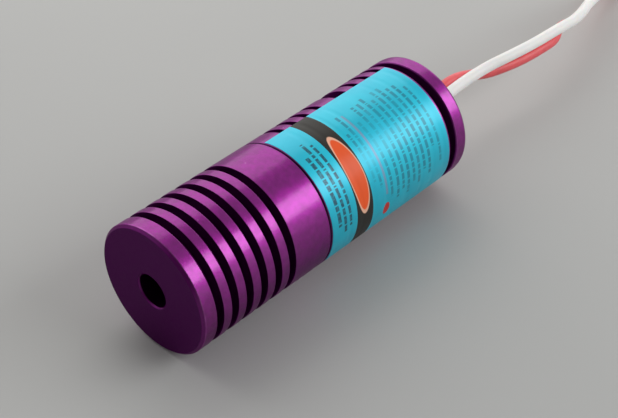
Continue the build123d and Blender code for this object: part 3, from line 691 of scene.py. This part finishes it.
lens_glass = glass("coated lens glass", (0.93, 0.96, 1.0, 1), Coat_Weight=0.3,
                   Coat_Tint=(0.7, 0.75, 1.0, 1))
window_glass = glass("window glass", (0.97, 0.99, 0.98, 1))
white_insulation = insulation("white insulation", (0.97, 0.955, 0.935, 1), (0.93, 0.915, 0.895, 1),
                              Subsurface_Weight=0.12, Subsurface_Scale=0.6 * MM)
red_insulation = insulation("red insulation", (0.90, 0.115, 0.13, 1), (0.82, 0.09, 0.105, 1),
                            Subsurface_Weight=0.08, Subsurface_Scale=0.5 * MM)

FINISHES = {
    brass: ["lens_cell", "lens_ring", "diode_holder", "diode_ring", "trimmer_screw"],
    steel: ["focus_spring", "diode_can"],
    gold: ["diode_base", "diode_pins"],
    tin: ["chip_legs", "diode_solder", "lead_solder", "white_lead_strands", "red_lead_strands"],
    copper: ["inductor_winding"],
    black_plastic: ["driver_chip", "flyback_diode", "resistors"],
    ferrite: ["inductor_core"],
    blue_plastic: ["trim_potentiometer"],
    tantalum: ["input_capacitor"],
    ceramic: ["ceramic_capacitors"],
    lens_glass: ["lens"],
    window_glass: ["diode_window"],
    board_mask(): ["driver_board"],
}
for material, names in FINISHES.items():
    for name in names:
        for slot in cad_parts[name].material_slots:
            slot.material = material

# Pieces over their nodes
purple = anodised()
for piece, material, name, slot in (
        (front_barrel(), purple, "front_barrel", "purple_anodised"),
        (rear_barrel(), purple, "rear_barrel", "purple_anodised"),
        (rear_cap(), purple, "rear_cap", "purple_anodised"),
        (label(), label_film(), "label", "label_film"),
        (grommet(), rubber, "grommet", "grommet_rubber"),
        (lead("white_lead_line", WHITE_ROUTE), white_insulation, "white_lead", "white_insulation"),
        (lead("red_lead_line", RED_ROUTE), red_insulation, "red_lead", "red_insulation")):
    piece.data.materials.append(material)
    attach(piece, "root")
    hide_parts(name)


# Floor, light and camera
def floor(half_side=3):
    """A flat square that the barrel lies on, reaching this many metres each way."""
    corners = [(x * half_side, y * half_side, FLOOR) for x, y in ((-1, -1), (1, -1), (1, 1), (-1, 1))]
    mesh = bpy.data.meshes.new("floor")
    mesh.from_pydata(corners, [], [(0, 1, 2, 3)])
    mesh.materials.append(floor_surface())
    piece = bpy.data.objects.new("floor", mesh)
    bpy.context.collection.objects.link(piece)


def softbox(name, direction, distance, across, along, brightness, colour=(1, 1, 1)):
    """A lamp whose face is this bright, looking at the module from the given direction. It measures this
    much across the barrel and along it, in metres."""
    lamp = bpy.data.lights.new(name, "AREA")
    lamp.shape = "RECTANGLE"
    lamp.size, lamp.size_y = across, along
    lamp.energy = 4 * across * along * brightness
    lamp.color = colour
    holder = bpy.data.objects.new(name, lamp)
    away = Vector(direction).normalized()
    lengthwise = (Vector((0, 1, 0)) - away * away.y).normalized()
    holder.location = away * distance
    holder.rotation_euler = Matrix((lengthwise.cross(away), lengthwise, away)).transposed().to_euler()
    bpy.context.collection.objects.link(holder)


def room(brightness, dim):
    """An even white room, dimmer on the side that the photo is taken from."""
    world = bpy.data.worlds.new("room")
    world.use_nodes = True
    tree = world.node_tree
    direction = node(tree, "TexCoord").outputs["Generated"]
    near_side = node(tree, "VectorMath", {0: direction, 1: [-part for part in LOOK]},
                     operation="DOT_PRODUCT").outputs["Value"]
    backdrop = tree.nodes["Background"].inputs
    backdrop["Color"].default_value = (1, 1, 1, 1)
    tree.links.new(span(tree, near_side, 0.4, 0.85, brightness, dim), backdrop["Strength"])
    bpy.context.scene.world = world


def camera():
    piece = bpy.data.objects.new("camera", bpy.data.cameras.new("camera"))
    piece.data.lens = LENS
    piece.data.clip_start = 0.01
    piece.location = Vector(EYE) * MM
    piece.rotation_euler = Vector(LOOK).to_track_quat("-Z", "Y").to_euler()
    bpy.context.collection.objects.link(piece)
    bpy.context.scene.camera = piece


floor()
# Each lamp's direction, distance, size across and along, brightness and colour
softbox("window on the left", (-0.72, 0.42, 0.54), 0.4, 0.45, 0.95, 0.865, (1.0, 0.985, 0.96))
softbox("window on the right", (0.65, 0.561, 0.51), 0.8, 0.37, 0.8, 2.7, (0.965, 0.985, 0.985))
softbox("low window on the right", (0.82, 0.561, 0.12), 0.8, 0.24, 0.8, 0.3)
room(brightness=0.48, dim=0.12)
bpy.context.scene.view_settings.view_transform = "Standard"
camera()
